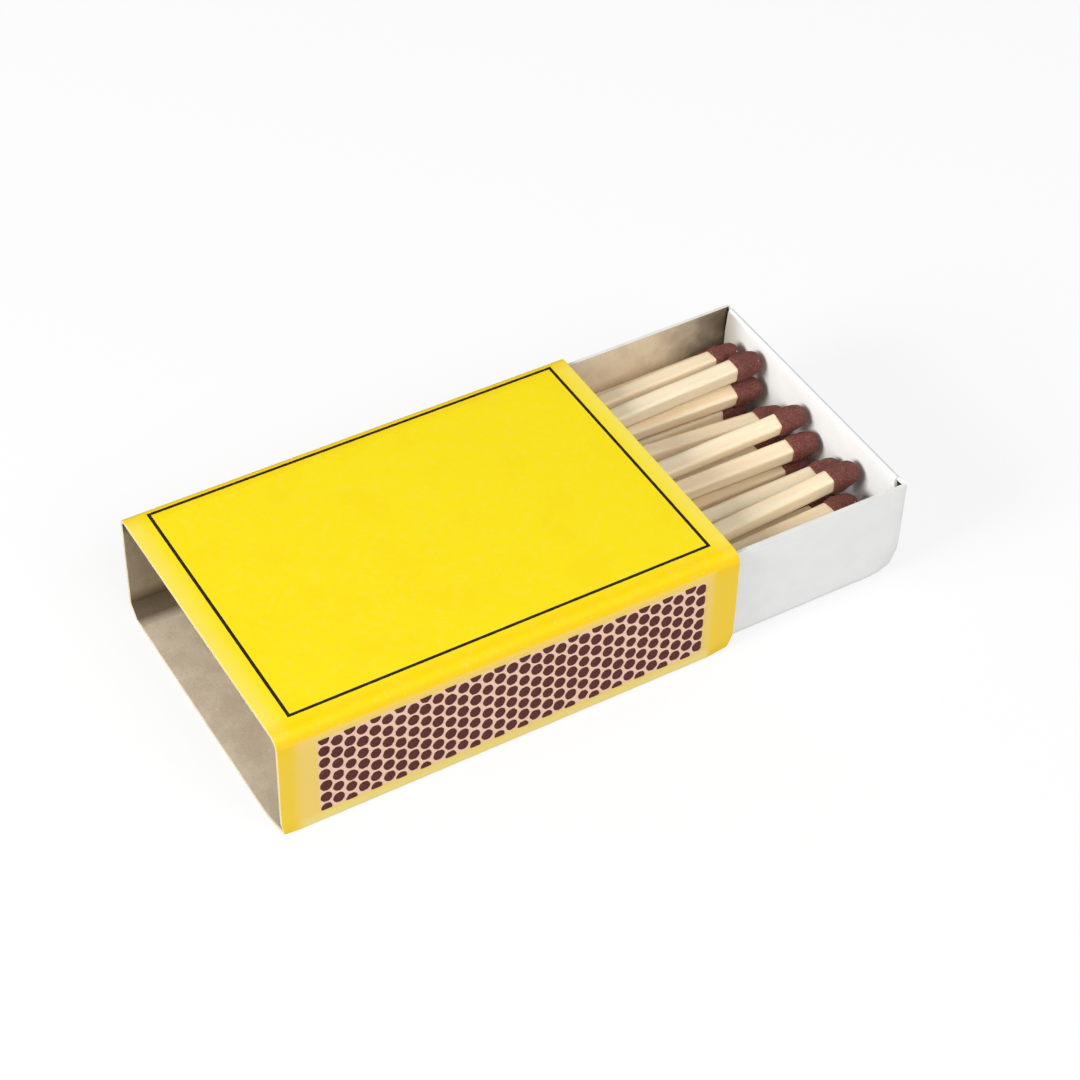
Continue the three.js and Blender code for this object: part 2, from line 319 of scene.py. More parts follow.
def grid_quads(rows, columns, first=0):
    """The quads of a grid of points: each joins a point, the next in its row and the two
    in the row after."""
    index = first + np.arange(rows * columns).reshape(rows, columns)
    corners = [index[:-1, :-1], index[:-1, 1:], index[1:, 1:], index[1:, :-1]]
    return np.stack(corners, -1).reshape(-1, 4)


def mesh_from_grids(name, grids, marks=None, turned=False):
    """One mesh from several grids of points in millimetres, with its doubles merged.
    marks holds numbers or vectors for each point, which materials read as attributes."""
    points = np.concatenate([grid.reshape(-1, 3) for grid in grids])
    firsts = np.cumsum([0] + [grid.shape[0] * grid.shape[1] for grid in grids[:-1]])
    quads = np.concatenate([
        grid_quads(grid.shape[0], grid.shape[1], first) for grid, first in zip(grids, firsts)
    ])
    if turned:
        quads = quads[:, ::-1]
    mesh = bpy.data.meshes.new(name)
    mesh.from_pydata((points * MM).tolist(), [], quads.tolist())
    for mark, values in (marks or {}).items():
        kind, key = ("FLOAT", "value") if values.ndim == 1 else ("FLOAT_VECTOR", "vector")
        attribute = mesh.attributes.new(mark, kind, "POINT")
        attribute.data.foreach_set(key, values.astype(np.float32).ravel())
    weld = bmesh.new()
    weld.from_mesh(mesh)
    bmesh.ops.remove_doubles(weld, verts=weld.verts, dist=MERGE_WITHIN * MM)
    bmesh.ops.dissolve_degenerate(weld, edges=weld.edges, dist=SLIVER * MM)
    weld.to_mesh(mesh)
    weld.free()
    mesh.shade_smooth()
    return mesh


print("quads in a grid of 3 by 4 points:", len(grid_quads(3, 4)))

# %% Placing a piece, and thickening card
EDGE_ROUND = 0.06
EDGE_ANGLE = 50


def place_piece(name, mesh, materials, body, slot, *stands_for):
    """Makes the mesh an object that rides on a body and stands for nodes of the model."""
    for material in materials:
        mesh.materials.append(material)
    piece = bpy.data.objects.new(name, mesh)
    bpy.context.scene.collection.objects.link(piece)
    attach(piece, body)
    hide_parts(*stands_for)
    return piece


def thicken_card(piece, thickness):
    """Gives a surface a card's thickness inwards. Slot 0 is the outside, 1 the inside and
    2 the cut edge, and a small bevel rounds the cut edge."""
    solid = piece.modifiers.new("card", "SOLIDIFY")
    solid.thickness = thickness * MM
    solid.offset = -1.0
    solid.use_even_offset = True
    solid.material_offset = 1
    solid.material_offset_rim = 2
    bevel = piece.modifiers.new("cut_edge", "BEVEL")
    bevel.width = EDGE_ROUND * MM
    bevel.segments = 2
    bevel.limit_method = "ANGLE"
    bevel.angle_limit = math.radians(EDGE_ANGLE)
    bevel.harden_normals = True
    return piece


# %% [markdown]
# ## The sleeve
#
# The sleeve is one strip of card folded round four long edges. A fold in card is not a
# sharp line: the outside runs round a small radius, and the card between two folds bows a
# few hundredths of a millimetre. The section is worked out as straight runs and arcs, and
# is carried along X.
#
# One hidden edge is creased twice, so the section has five corners.

# %% The section of the sleeve
CARD = 0.4
TOP_FOLD = 0.9
FRONT_TOP_FOLD = 1.4
FRONT_FOLD = 0.6
BEVEL_LEG = 1.5
CREASE = 0.5
FOLD_STEPS = 7
RUN_STEP = 1.5


def rounded_section(corners):
    """Points round a closed section of straight runs and arcs, anticlockwise, and for each
    point 1 on an arc and 0 on a run. An arc's centre lies on the line that halves its
    corner's angle, at the radius over the sine of half the angle."""
    corners = np.array(corners, float)
    here, radius = corners[:, :2], corners[:, 2]
    back = np.roll(here, 1, 0) - here
    back /= np.linalg.norm(back, axis=1)[:, None]
    on = np.roll(here, -1, 0) - here
    on /= np.linalg.norm(on, axis=1)[:, None]
    half = np.arccos((back * on).sum(1)) / 2
    middle = (back + on) / np.linalg.norm(back + on, axis=1)[:, None]
    centre = here + middle * (radius / np.sin(half))[:, None]
    start = here + back * (radius / np.tan(half))[:, None] - centre
    turn = np.linspace(0, 1, FOLD_STEPS)[None, :] * (np.pi - 2 * half)[:, None]
    cos, sin = np.cos(turn)[..., None], np.sin(turn)[..., None]
    spun = np.stack([-start[:, 1], start[:, 0]], -1)
    arcs = centre[:, None] + start[:, None] * cos + spun[:, None] * sin
    points, folds = [], []
    for arc, after in zip(arcs, np.roll(arcs, -1, 0)):
        run = after[0] - arc[-1]
        count = max(int(np.linalg.norm(run) / RUN_STEP), 1)
        along = np.linspace(0, 1, count + 1)[1:-1]
        points += [arc, arc[-1] + along[:, None] * run]
        folds += [np.ones(len(arc)), np.zeros(len(along))]
    return np.concatenate(points), np.concatenate(folds)


side = sleeve_high[1]
top = sleeve_high[2]
section, on_fold = rounded_section([
    [-side, 0, FRONT_FOLD],
    [side - BEVEL_LEG, 0, CREASE],
    [side, BEVEL_LEG, CREASE],
    [side, top, TOP_FOLD],
    [-side, top, FRONT_TOP_FOLD],
])
section = np.concatenate([section, section[:1]])
on_fold = np.concatenate([on_fold, on_fold[:1]])
print("points round the section:", len(section))

# %% [markdown]
# ## Bowed panels and a worn corner
#
# Card between two folds is never quite flat, and a flat panel looks like plastic because it
# mirrors one even tone. A bend modifier could bow it, but the printed line and the dots have
# to follow the same bow. So the bow is a function of a place, and every piece on the sleeve
# goes through it. The corner that rubs in a pocket is worn in the same way, by a shift that
# fades out along, across and up.

# %% Bow and wear
TOP_BOW = 0.09
SIDE_BOW = 0.07


def bowed(points):
    """Shifts points by the slow bow of the sleeve's panels: the top swells by a half wave
    across and a slow wave along, and each side by a half wave up. Nothing moves at the
    folds or on the bottom."""
    x, y, z = np.moveaxis(points, -1, 0)
    along = 0.6 + 0.4 * np.sin(0.09 * x + 0.7)
    on_top = np.clip(z / top, 0, 1) ** 8
    on_side = np.clip(np.abs(y) / side, 0, 1) ** 12 * np.sign(y)
    rise = TOP_BOW * np.cos(np.pi * y / (2 * side)) * along * on_top
    swell = SIDE_BOW * np.sin(np.pi * np.clip(z / top, 0, 1)) * along * on_side
    return points + np.stack([np.zeros_like(x), swell, rise], -1)


STATIONS = 107
WORN_CORNER = 0.8
WORN_UP = 2.6
WORN_ALONG = 3.0
WORN_ALONG_LEFT = 2.0
WORN_ACROSS = 3.0
LEFT_SHARE = 0.5
WORN_INWARD = 0.25


def sleeve_grid():
    """The outside of the sleeve: the section in Y and Z at each place along X. Where the
    tray comes out, the lower front corner is worn round: its end is drawn back and in. The
    same corner at the other end is worn half as much."""
    stations = np.linspace(sleeve_low[0], sleeve_high[0], STATIONS)
    grid = np.empty((len(stations), len(section), 3))
    grid[..., 0] = stations[:, None]
    grid[..., 1:] = section[None]
    x, y, z = np.moveaxis(grid, -1, 0)
    low = np.clip(1 - np.clip(z, 0, None) / WORN_UP, 0, 1) ** 2
    ends = np.clip((x - sleeve_high[0] + WORN_ALONG) / WORN_ALONG, 0, 1)
    left = np.clip((sleeve_low[0] + WORN_ALONG_LEFT - x) / WORN_ALONG_LEFT, 0, 1)
    ends = ends - LEFT_SHARE * left
    worn = WORN_CORNER * low * ends * np.clip((WORN_ACROSS - side - y) / WORN_ACROSS, 0, 1)
    inward = WORN_INWARD * np.abs(worn)
    return bowed(grid + np.stack([-worn, inward, inward], -1))


print("bow of the top and of a side, mm:", TOP_BOW, SIDE_BOW)

# %% [markdown]
# ## What card and print look like
#
# The outside is printed: a strong yellow, hardly mottled, deeper where the card is folded
# and paler by the cut ends. The side panels carry a pale field under the striking strip,
# whose edge is soft where the ink thins out, and the dots have stained it pink between
# them. The inside is bare board, a grey-brown made of pulped paper, with paler and darker
# flecks. Both have the same fibres, so the fibres are a node group.

# %% A node group in short
def new_group(name, inputs, outputs):
    """A shader node group with number inputs and named outputs."""
    tree = bpy.data.node_groups.new(name, "ShaderNodeTree")
    for label, value in inputs.items():
        kind = "NodeSocketVector" if value is None else "NodeSocketFloat"
        socket = tree.interface.new_socket(label, in_out="INPUT", socket_type=kind)
        if value is not None:
            socket.default_value = value
    for label in outputs:
        tree.interface.new_socket(label, in_out="OUTPUT", socket_type="NodeSocketFloat")
    make = Nodes(tree)
    entry = make.add("NodeGroupInput")
    leave = make.add("NodeGroupOutput")
    return tree, make, entry.outputs, leave.inputs


def use_group(make, tree, inputs):
    return make.add("ShaderNodeGroup", inputs, node_tree=tree).outputs


print("node groups so far:", len(bpy.data.node_groups))

# %% Node groups: fibres, blotches and flecks
def fibres_group():
    """Short fibres: noise that is stretched, summed for two directions."""
    tree, make, given, out = new_group("card_fibres", {"Place": None, "Size": 1.0}, ["Height"])
    scale = make.math("DIVIDE", 1.0, given["Size"])
    sheets = []
    for stretch in ((9.0, 1.6, 9.0), (1.6, 9.0, 4.0)):
        stretched = make.vector("MULTIPLY", given["Place"], stretch)
        sheets.append(make.noise(stretched, scale, detail=3.0, rough=0.6))
    total = make.math("MULTIPLY", make.math("ADD", *sheets), 0.5)
    make.feed(out["Height"], total)
    return tree


def mottle_group():
    """Slow blotches, from -1 to 1, as ink that took unevenly leaves them."""
    tree, make, given, out = new_group("ink_mottle", {"Place": None, "Size": 1.0}, ["Shade"])
    scale = make.math("DIVIDE", 1.0, given["Size"])
    cloud = make.noise(given["Place"], scale, detail=3.0, rough=0.55)
    make.feed(out["Shade"], make.ramp(cloud, 0.3, 0.7, -1.0, 1.0))
    return tree


def flecks_group():
    """Sparse flecks: the peaks of a fine noise, 0 to 1."""
    tree, make, given, out = new_group(
        "board_flecks", {"Place": None, "Size": 1.0, "Amount": 0.5}, ["Fleck"])
    scale = make.math("DIVIDE", 1.0, given["Size"])
    fine = make.noise(given["Place"], scale, detail=1.0)
    low = make.math("SUBTRACT", 0.74, make.math("MULTIPLY", given["Amount"], 0.2))
    high = make.math("ADD", low, 0.08)
    make.feed(out["Fleck"], make.ramp(fine, low, high))
    return tree


fibres = fibres_group()
mottle = mottle_group()
flecks = flecks_group()


def fibre(make, place, size):
    return use_group(make, fibres, {"Place": place, "Size": size})["Height"]


def blotch(make, place, size):
    return use_group(make, mottle, {"Place": place, "Size": size})["Shade"]


def fleck(make, place, size, amount):
    return use_group(make, flecks, {"Place": place, "Size": size, "Amount": amount})["Fleck"]


print("groups:", fibres.name, mottle.name, flecks.name)

# %% [markdown]
# ## Bare card
#
# The board's colour is nearly even from a step away, and busy from close by. A picture of
# card would show its repeat, so the colour is built up: blotches first, then pale flecks,
# then dark ones. The sleeve's inside has painted shade: it is darker on its back panel,
# which the light hardly reaches, and darkest in the creases. The mesh marks those as "fold".

# %% Place in millimetres, and the end of every material
def place_in_mm(make):
    """Object coordinates, in millimetres."""
    coordinates = make.add("ShaderNodeTexCoord").outputs["Object"]
    scaled = make.add(
        "ShaderNodeVectorMath", {0: coordinates, "Scale": 1.0 / MM}, operation="SCALE")
    return scaled.outputs[0]


def finish_shader(make, shader, colour, rough, specular, height, depth):
    """Gives a shader its colour, its roughness, how much it mirrors, and a bump, whose
    height runs from 0 to 1 and whose depth is what 1 stands for, in mm."""
    node = make.add("ShaderNodeBump", {"Height": height, "Strength": 1.0, "Distance": depth * MM})
    given = {"Base Color": colour, "Roughness": rough, "Specular IOR Level": specular,
             "Normal": node.outputs["Normal"]}
    for name, value in given.items():
        make.feed(shader.inputs[name], value)


print("places are measured in, m:", MM)

# %% What bare card has in common
FLECKS_APART = (31.0, 17.0, 5.0)


def bare_card(make, place, colour, pale, dark, fleck_amount):
    """The colour of bare card: blotches, and paler and darker flecks."""
    shade = blotch(make, place, 2.5)
    light = fleck(make, place, 0.35, fleck_amount)
    deep = fleck(make, make.vector("ADD", place, FLECKS_APART), 0.28, fleck_amount)
    base = make.mix(make.ramp(shade, -1.0, 1.0, 0.0, 0.3), colour, dark)
    base = make.mix(make.math("MULTIPLY", light, 0.3), base, pale)
    return make.mix(make.math("MULTIPLY", deep, 0.3), base, dark)


def finish_card(make, shader, place, colour):
    """Gives a card its colour, and the roughness and the bump of its fibres."""
    height = fibre(make, place, 1.2)
    rough = make.ramp(height, 0.3, 0.7, 0.75, 0.9)
    finish_shader(make, shader, colour, rough, 0.2, height, 0.03)


def card_material(name, colour, pale, dark, fleck_amount):
    material, make, shader = new_material(name)
    place = place_in_mm(make)
    finish_card(make, shader, place, bare_card(make, place, colour, pale, dark, fleck_amount))
    return material


print("pale and dark flecks are shifted by, mm:", FLECKS_APART)

# %% The sleeve's board and the cut edges
BOARD = (srgb(220, 206, 182), srgb(234, 225, 207), srgb(180, 161, 134))
# Where painted shade darkens the sleeve's back panel, in mm off the back.
BACK_SHADE_FROM, BACK_SHADE_FULL = 1.6, 0.5


def sleeve_board_material():
    """The sleeve's bare inside: painted shade darkens the back panel, and the creases most."""
    material, make, shader = new_material("grey_board")
    place = place_in_mm(make)
    x, y, z = make.parts(place)
    colour = bare_card(make, place, *BOARD, 0.6)
    # Painted shade: the back panel is darker, as little light reaches it.
    back = make.ramp(y, side - BACK_SHADE_FROM, side - BACK_SHADE_FULL, 0.0, 0.6)
    colour = make.mix(back, colour, srgb(134, 116, 86))
    # Painted shade: the inside creases are darkest, more so towards the back.
    fold = make.mark("fold")
    crease_shade = make.math("MULTIPLY", fold, make.ramp(y, 0.0, 1.0, 0.25, 0.85))
    colour = make.mix(crease_shade, colour, srgb(84, 68, 46))
    finish_card(make, shader, place, colour)
    return material


board = sleeve_board_material()
cut_edge = card_material(
    "cut_edge", srgb(216, 204, 172), srgb(232, 224, 198), srgb(190, 172, 134), 0.4)
white_cut_edge = card_material(
    "white_cut_edge", srgb(240, 239, 232), srgb(248, 248, 244), srgb(214, 210, 198), 0.3)
print("card materials:", board.name, cut_edge.name, white_cut_edge.name)

# %% [markdown]
# ## The print
#
# The ink covers the whole outside, but the side panels are printed in fields: a pale one,
# a paler strip below, and the ground that the dots stand on. Each field is a band along X
# times a band along Z, with soft edges of its own, so no picture is needed and each edge
# can be moved by one value. Where the card is folded the ink is deeper, and it is rubbed.

# %% The printed outside
YELLOW = srgb(254, 230, 22)
DEEP_YELLOW = srgb(251, 207, 8)
SIDE_YELLOW = srgb(253, 215, 66)
PEACH = srgb(251, 217, 116)
LOW_PALE = srgb(251, 230, 140)
STAINED = srgb(253, 212, 194)
BARE_CARD = srgb(248, 240, 200)
STRIP_LEFT, STRIP_RIGHT = -22.2, 22.4
STRIP_FOOT, STRIP_TOP = 1.85, 12.1
FIELD_LEFT, FIELD_RIGHT = -24.5, 23.5
FIELD_TOP = 12.95
FIELD_TOP_SOFT = 0.22
FIELD_SOFT_LEFT, FIELD_SOFT_RIGHT = 0.9, 0.35
STRIP_SOFT = 0.2


def band(make, value, low, high, soft_low, soft_high):
    """1 between low and high, fading over a soft width of its own at each end."""
    rising = make.ramp(value, low - soft_low, low + soft_low)
    falling = make.ramp(value, high - soft_high, high + soft_high, 1.0, 0.0)
    return make.math("MULTIPLY", rising, falling)


def side_panel(make, x, z, ground):
    """The colours of a side panel: the pale field, paler yellow below the strip, and the
    stained card between the strip's dots."""
    across = band(make, x, FIELD_LEFT, FIELD_RIGHT, FIELD_SOFT_LEFT, FIELD_SOFT_RIGHT)
    below = make.ramp(z, FIELD_TOP - FIELD_TOP_SOFT, FIELD_TOP + FIELD_TOP_SOFT, 1.0, 0.0)
    field = make.mix(make.ramp(z, STRIP_FOOT - 0.9, STRIP_FOOT + 0.2), LOW_PALE, PEACH)
    colour = make.mix(make.math("MULTIPLY", across, below), ground, field)
    inside = make.math(
        "MULTIPLY",
        band(make, x, STRIP_LEFT, STRIP_RIGHT, STRIP_SOFT, STRIP_SOFT),
        band(make, z, STRIP_FOOT, STRIP_TOP, STRIP_SOFT, STRIP_SOFT))
    return make.mix(make.math("MULTIPLY", inside, 0.9), colour, STAINED)


print("the pale field is long and high, mm:", FIELD_RIGHT - FIELD_LEFT, FIELD_TOP)

# %% The print
SIDE_FROM, SIDE_FULL = 0.75, 0.25
PANEL_FULL, PANEL_END = 12.9, 13.4
PALE_FROM, PALE_FULL = 24.0, 26.2


def printed_material():
    """Yellow, deeper at the folds and paler by the cut ends, with the side's fields on it."""
    material, make, shader = new_material("yellow_print")
    place = place_in_mm(make)
    x, y, z = make.parts(place)
    fold = make.mark("fold")
    slow = blotch(make, place, 7.0)
    fine = blotch(make, place, 0.9)
    on_side = make.ramp(make.math("ABSOLUTE", y), side - SIDE_FROM, side - SIDE_FULL)
    on_panel = make.math("MULTIPLY", on_side, make.ramp(z, PANEL_FULL, PANEL_END, 1.0, 0.0))
    ground = make.mix(on_side, YELLOW, DEEP_YELLOW)
    ground = make.mix(on_panel, ground, SIDE_YELLOW)
    ground = make.mix(make.ramp(slow, 0.0, 1.0, 0.0, 0.14), ground, DEEP_YELLOW)
    by_end = make.ramp(make.math("ABSOLUTE", x), PALE_FROM, PALE_FULL, 0.0, 0.16)
    on_top = make.ramp(z, top - 0.6, top - 0.1)
    ground = make.mix(make.math("MULTIPLY", by_end, on_top), ground, BARE_CARD)
    ground = make.mix(make.math("MULTIPLY", fold, 0.6), ground, DEEP_YELLOW)
    colour = make.mix(on_side, ground, side_panel(make, x, z, ground))
    colour = make.mix(make.ramp(fine, 0.0, 1.0, 0.0, 0.025), colour, BARE_CARD)
    rub = fleck(make, place, 0.4, 0.25)
    worn = make.math("MULTIPLY", make.math("MULTIPLY", rub, fold), 0.15)
    colour = make.mix(worn, colour, BARE_CARD)
    rough = make.ramp(fine, -1.0, 1.0, 0.5, 0.64)
    finish_shader(make, shader, colour, rough, 0.14, fibre(make, place, 1.6), 0.014)
    return material


printed = printed_material()
print("nodes in the print:", len(printed.node_tree.nodes))

# %% Make the sleeve
grid = sleeve_grid()
fold_marks = np.broadcast_to(on_fold[None], grid.shape[:2]).ravel()
sleeve_mesh = mesh_from_grids("card_sleeve", [grid], {"fold": fold_marks})
sleeve = place_piece(
    "card_sleeve", sleeve_mesh, [printed, board, cut_edge], "sleeve", "yellow_card", "sleeve")
thicken_card(sleeve, CARD)
outward = sum(p.normal.z * p.area for p in sleeve_mesh.polygons if p.center.z > 0.9 * top * MM)
print("the top faces up:", outward > 0)

# %% [markdown]
# ## The printed line
#
# One thin black line runs round the top panel. It could be a pattern in the material, but
# the model has it as a piece of its own, and as a thin bead of ink it also catches the
# light at its edge. A bead is a flat oval carried round the rectangle. At a corner the
# oval's width runs along the diagonal, which gives a mitre.

# %% The shape of the printed line
LINE_WIDTH = 0.36
INK_HEIGHT = 0.03


def ink_line_grid():
    """Round the oval first, then round the rectangle: each point of the oval is a smaller
    or larger rectangle, and the rows walk along its four sides."""
    low, high = box_mm("printed_frame")
    centre = (low + high) / 2
    half = (high - low) / 2 - LINE_WIDTH / 2
    angle = np.linspace(0, 2 * np.pi, 13)
    signs = np.array([[-1, -1], [1, -1], [1, 1], [-1, 1], [-1, -1]])
    share = np.linspace(0, 1, 80, endpoint=False)[:, None]
    walk = np.concatenate([a + (b - a) * share for a, b in zip(signs[:-1], signs[1:])])
    walk = np.concatenate([walk, walk[:1]])
    corner = np.sign(walk) * (np.abs(walk) > 0.999)
    step = np.arange(len(walk))
    wobble = 1.0 + 0.05 * np.sin(1.9 * step) * np.sin(0.37 * step)
    wobble[-1] = wobble[0]
    grow = LINE_WIDTH / 2 * np.cos(angle)[None, :] * wobble[:, None]
    size = half[None, None, :2] + grow[..., None]
    flat = centre[:2] + walk[:, None, :] * size
    height = np.broadcast_to(top + INK_HEIGHT * np.sin(angle)[None, :], grow.shape)
    return bowed(np.concatenate([flat, height[..., None]], -1))


print("points along and round the line:", ink_line_grid().shape[:2])

# %% Black ink
def ink_material():
    material, make, shader = new_material("black_ink")
    place = place_in_mm(make)
    shade = blotch(make, place, 0.5)
    colour = make.mix(make.ramp(shade, 0.2, 1.0, 0.0, 0.5), srgb(26, 18, 6), srgb(72, 54, 12))
    height = fibre(make, place, 0.8)
    rough = make.ramp(height, 0.3, 0.7, 0.7, 0.85)
    finish_shader(make, shader, colour, rough, 0.15, height, 0.008)
    return material


ink = ink_material()
print("nodes in the ink:", len(ink.node_tree.nodes))

# %% Make the printed line
line_mesh = mesh_from_grids("printed_line", [ink_line_grid()])
place_piece("printed_line", line_mesh, [ink], "sleeve", "black_ink", "printed_frame")
print("faces in the printed line:", len(line_mesh.polygons))

# %% [markdown]
# ## The striking strips
#
# A striking strip is a gritty coat printed as a honeycomb of dots, because a full coat
# would crack and use too much of it. It has 32 columns. Every second column is shifted by
# half a dot, and in the others the first and last dots are cut in half by the strip's
# straight edge. All the dots are worked out at once: one array holds dot, ring and step
# round the ring.

# %% Where the dots are
COLUMNS = 32
FIRST_COLUMN = -21.54
COLUMN_STEP = 1.403
DOT_STEP = 1.67
DOT_GAP = 0.27
DOT_NARROW = 0.92
DOT_HEIGHT = 0.075
DOT_SIDES = 18


def dot_centres():
    """Centres in X and Z: an even column has dots at whole steps from the strip's middle
    height, and an odd one half a step off."""
    column, row = np.meshgrid(np.arange(COLUMNS), np.arange(-3, 4), indexing="ij")
    odd = column % 2
    keep = row + odd < 4
    x = FIRST_COLUMN + column * COLUMN_STEP
    z = (STRIP_FOOT + STRIP_TOP) / 2 + (row + 0.5 * odd) * DOT_STEP
    return np.stack([x[keep], z[keep]], -1)


print("dots in a strip:", len(dot_centres()))

# %% The shape of the dots
def honeycomb(low, high, outward, seed):
    """Each dot is a hexagon with soft corners: its edge at an angle is the apothem over the
    largest cosine to the six sides, softened by a power mean. Rings from its top to its
    rim give the dome, and the last ring sinks it into the card."""
    random = np.random.default_rng(seed)
    centres = dot_centres()
    angle = np.linspace(0, 2 * np.pi, DOT_SIDES + 1)
    facing = np.radians(30 + 60 * np.arange(6))
    cosines = np.clip(np.cos(angle[:, None] - facing[None, :]), 0, None)
    edge = (DOT_STEP - DOT_GAP) / 2 / (cosines ** 6).sum(1) ** (1 / 6)
    ring = np.array([0.0, 0.5, 0.82, 0.97, 1.0, 0.0])
    lift = np.array([1.0, 0.97, 0.78, 0.4, -0.25, -0.25]) * DOT_HEIGHT
    size = 1 + 0.03 * random.standard_normal((len(centres), 1, 1))
    ragged = 1 + 0.03 * random.standard_normal((len(centres), 1, DOT_SIDES))
    ragged = np.concatenate([ragged, ragged[..., :1]], -1)
    radius = ring[None, :, None] * edge[None, None, :] * size * ragged
    shift = 0.03 * random.standard_normal((2, len(centres), 1, 1))
    x = centres[:, 0, None, None] + shift[0] + DOT_NARROW * radius * np.cos(angle)
    z = centres[:, 1, None, None] + shift[1] + radius * np.sin(angle)
    face = high[1] if outward < 0 else low[1]
    y = np.broadcast_to(face + outward * lift[None, :, None], x.shape)
    x = np.clip(x, STRIP_LEFT, STRIP_RIGHT)
    return bowed(np.stack([x, y, np.clip(z, STRIP_FOOT, STRIP_TOP)], -1))


print("a dot is high, mm:", round(DOT_STEP - DOT_GAP, 2))

# %% The gritty coat
def striker_material():
    material, make, shader = new_material("striking_coat")
    place = place_in_mm(make)
    grit = make.noise(place, 9.0, detail=3.0, rough=0.7)
    shade = blotch(make, place, 0.7)
    colour = make.mix(make.ramp(grit, 0.35, 0.7), srgb(70, 31, 23), srgb(112, 64, 54))
    colour = make.mix(make.ramp(shade, -1.0, 1.0, 0.0, 0.4), colour, srgb(96, 44, 52))
    finish_shader(make, shader, colour, make.ramp(grit, 0.3, 0.7, 0.95, 0.75), 0.25, grit, 0.03)
    return material


striking_coat = striker_material()
print("nodes in the coat:", len(striking_coat.node_tree.nodes))

# %% Make both strips
for node, outward, seed in (("striker_front", -1.0, 4), ("striker_back", 1.0, 9)):
    low, high = box_mm(node)
    dots = honeycomb(low, high, outward, seed)
    mesh = mesh_from_grids(f"{node}_dots", list(dots), turned=outward > 0)
    place_piece(f"{node}_dots", mesh, [striking_coat], "sleeve", "striker", node)
    print(node, "dots:", len(dots), "faces:", len(mesh.polygons))

# %% [markdown]
# ## The tray
#
# The tray is one sheet too: a floor, four walls, and at each end a flap that is folded over
# the wall's top and tucked down inside. The outside is a stack of rounded rectangles, from
# a line at the middle of the floor out to the floor's edge, round the fold, and up to the
# rim, so the walls and the floor are one surface with no seam. Each flap is a second grid
# whose first row is the rim of its end wall. Merging the doubles joins them, and then the
# whole sheet is thickened, so the flap shows its white side and the walls their board.

# %% The rectangles that the tray is stacked from
TRAY_CARD = 0.38
CORNER = 0.5
FOLD = 1.2
BACK_FOLD = 2.0
ROLL = 0.4
FLAP_FROM_CORNER = 0.62
CORNER_STEPS = 5

tray_left, tray_front, tray_floor = tray_low
tray_right, tray_back, tray_top = tray_high
LONG_STEPS = np.linspace(0, 1, 41)[1:-1]
width = tray_back - tray_front - 2 * CORNER
flap_edge = (FLAP_FROM_CORNER - CORNER) / width
SHORT_STEPS = np.linspace(flap_edge, 1 - flap_edge, 35)


def rectangle(left, right, front, back, corner):
    """Points round a rectangle with round corners, anticlockwise from above, the same
    number on each run and corner whatever the size."""
    angle = np.linspace(0, np.pi / 2, CORNER_STEPS)
    middles = np.array([
        [right - corner, back - corner], [left + corner, back - corner],
        [left + corner, front + corner], [right - corner, front + corner],
    ])
    turns = np.arange(4)[:, None] * np.pi / 2 + angle[None]
    arcs = middles[:, None] + corner * np.stack([np.cos(turns), np.sin(turns)], -1)
    steps = [LONG_STEPS, SHORT_STEPS, LONG_STEPS, SHORT_STEPS]
    rows = []
    for arc, after, share in zip(arcs, np.roll(arcs, -1, 0), steps):
        rows += [arc, arc[-1] + share[:, None] * (after[0] - arc[-1])]
    loop = np.concatenate(rows)
    return np.concatenate([loop, loop[:1]])


def smooth(value):
    """Three times the square less twice the cube, which starts and ends level."""
    value = np.clip(value, 0, 1)
    return value * value * (3 - 2 * value)


print("points round a rectangle:", len(rectangle(0, 2, 0, 1, 0.1)))

# %% [markdown]
# ## Walls, flaps and a crushed corner
#
# A wall could be a box with a bevel, but then the floor's fold and the rim's fold would
# need cutting and joining. Here one formula gives a rectangle for each step along the
# sheet, so the folds come out of the radii. The flap's own folds leave slits at its ends,
# as they do on a real tray, and the corner that stands out of the sleeve is pushed in.

# %% The tray's outside
def tray_row(inset, turn, rise):
    """One rectangle of the stack. inset runs from 1 at the line in the middle of the floor
    to 0 at the floor's edge, turn goes round the fold from 0 to a right angle, and rise
    goes up the wall from 0 to 1."""
    ends, backs = FOLD * (1 - math.sin(turn)), BACK_FOLD * (1 - math.sin(turn))
    reach = inset * (tray_back - tray_front - FOLD - BACK_FOLD) / 2
    corner = max(CORNER * math.sin(turn), 0.02)
    flat = rectangle(
        tray_left + ends + reach, tray_right - ends - reach,
        tray_front + ends + reach, tray_back - backs - reach, corner)
    near_back = smooth((flat[:, 1] - (tray_back - 5)) / 4.5)
    radius = FOLD + (BACK_FOLD - FOLD) * near_back
    foot = tray_floor + radius * (1 - math.cos(turn))
    middle = (tray_left + tray_right) / 2
    at_end = smooth((np.abs(flat[:, 0] - middle) - (tray_right - middle - 0.3)) / 0.3)
    rim = tray_top - ROLL * at_end
    height = foot + (rim - foot) * rise
    return np.column_stack([flat, height])


def tray_outside():
    rows = [tray_row(inset, 0.0, 0.0) for inset in np.linspace(1, 0, 9)]
    rows += [tray_row(0.0, turn, 0.0) for turn in np.linspace(0, np.pi / 2, 8)[1:]]
    rows += [tray_row(0.0, np.pi / 2, rise) for rise in np.linspace(0, 1, 13)[1:]]
    return np.stack(rows)


print("rows from the floor's middle to the rim:", len(tray_outside()))

# %% The tray's flaps
FLAP_SLIT = 0.6
FLAP_SHIFT = 0.3


